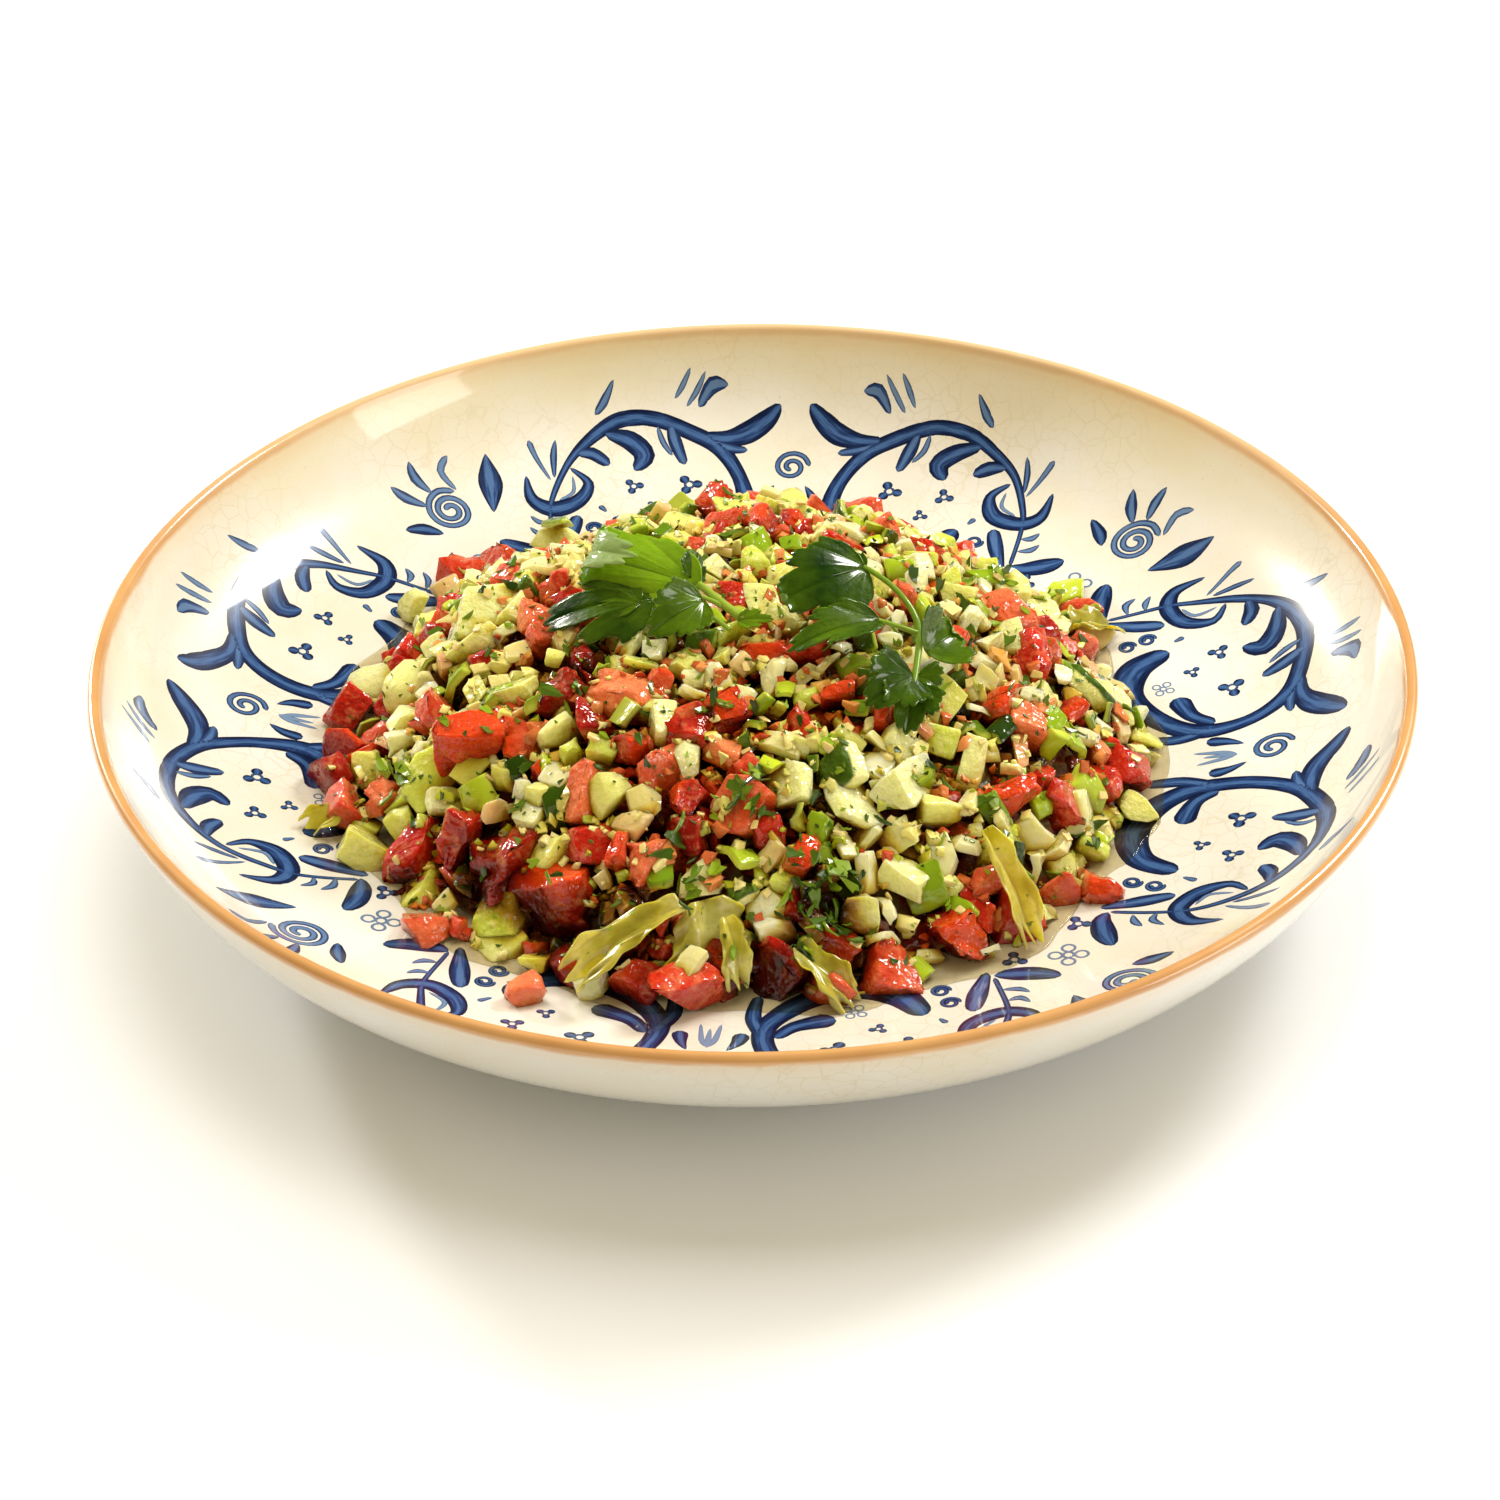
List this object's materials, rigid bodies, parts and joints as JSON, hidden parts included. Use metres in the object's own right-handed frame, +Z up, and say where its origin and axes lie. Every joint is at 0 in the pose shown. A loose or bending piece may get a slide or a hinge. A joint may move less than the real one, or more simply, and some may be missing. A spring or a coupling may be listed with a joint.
{
  "type": "dish of chopped salad",
  "caption": "Shallow glazed stoneware dish with blue scrollwork, holding a heap of chopped tomato and cucumber salad with parsley.",
  "frame": {"origin": "middle of the foot ring's flat underside, on the table", "axes": "+Z up, +X to the right and +Y away from the viewer in the picture"},
  "size_m": [0.2622, 0.2622, 0.0596],
  "materials": {
    "glazed_stoneware": "gloss",
    "salad_mix": "gloss",
    "parsley": "satin",
    "tomato": "gloss"
  },
  "bodies": {
    "root": {"dish": "glazed_stoneware", "salad_heap": "salad_mix", "parsley_sprig_left": "parsley", "parsley_sprig_right": "parsley", "stray_tomato": "tomato"}
  },
  "joints": []
}
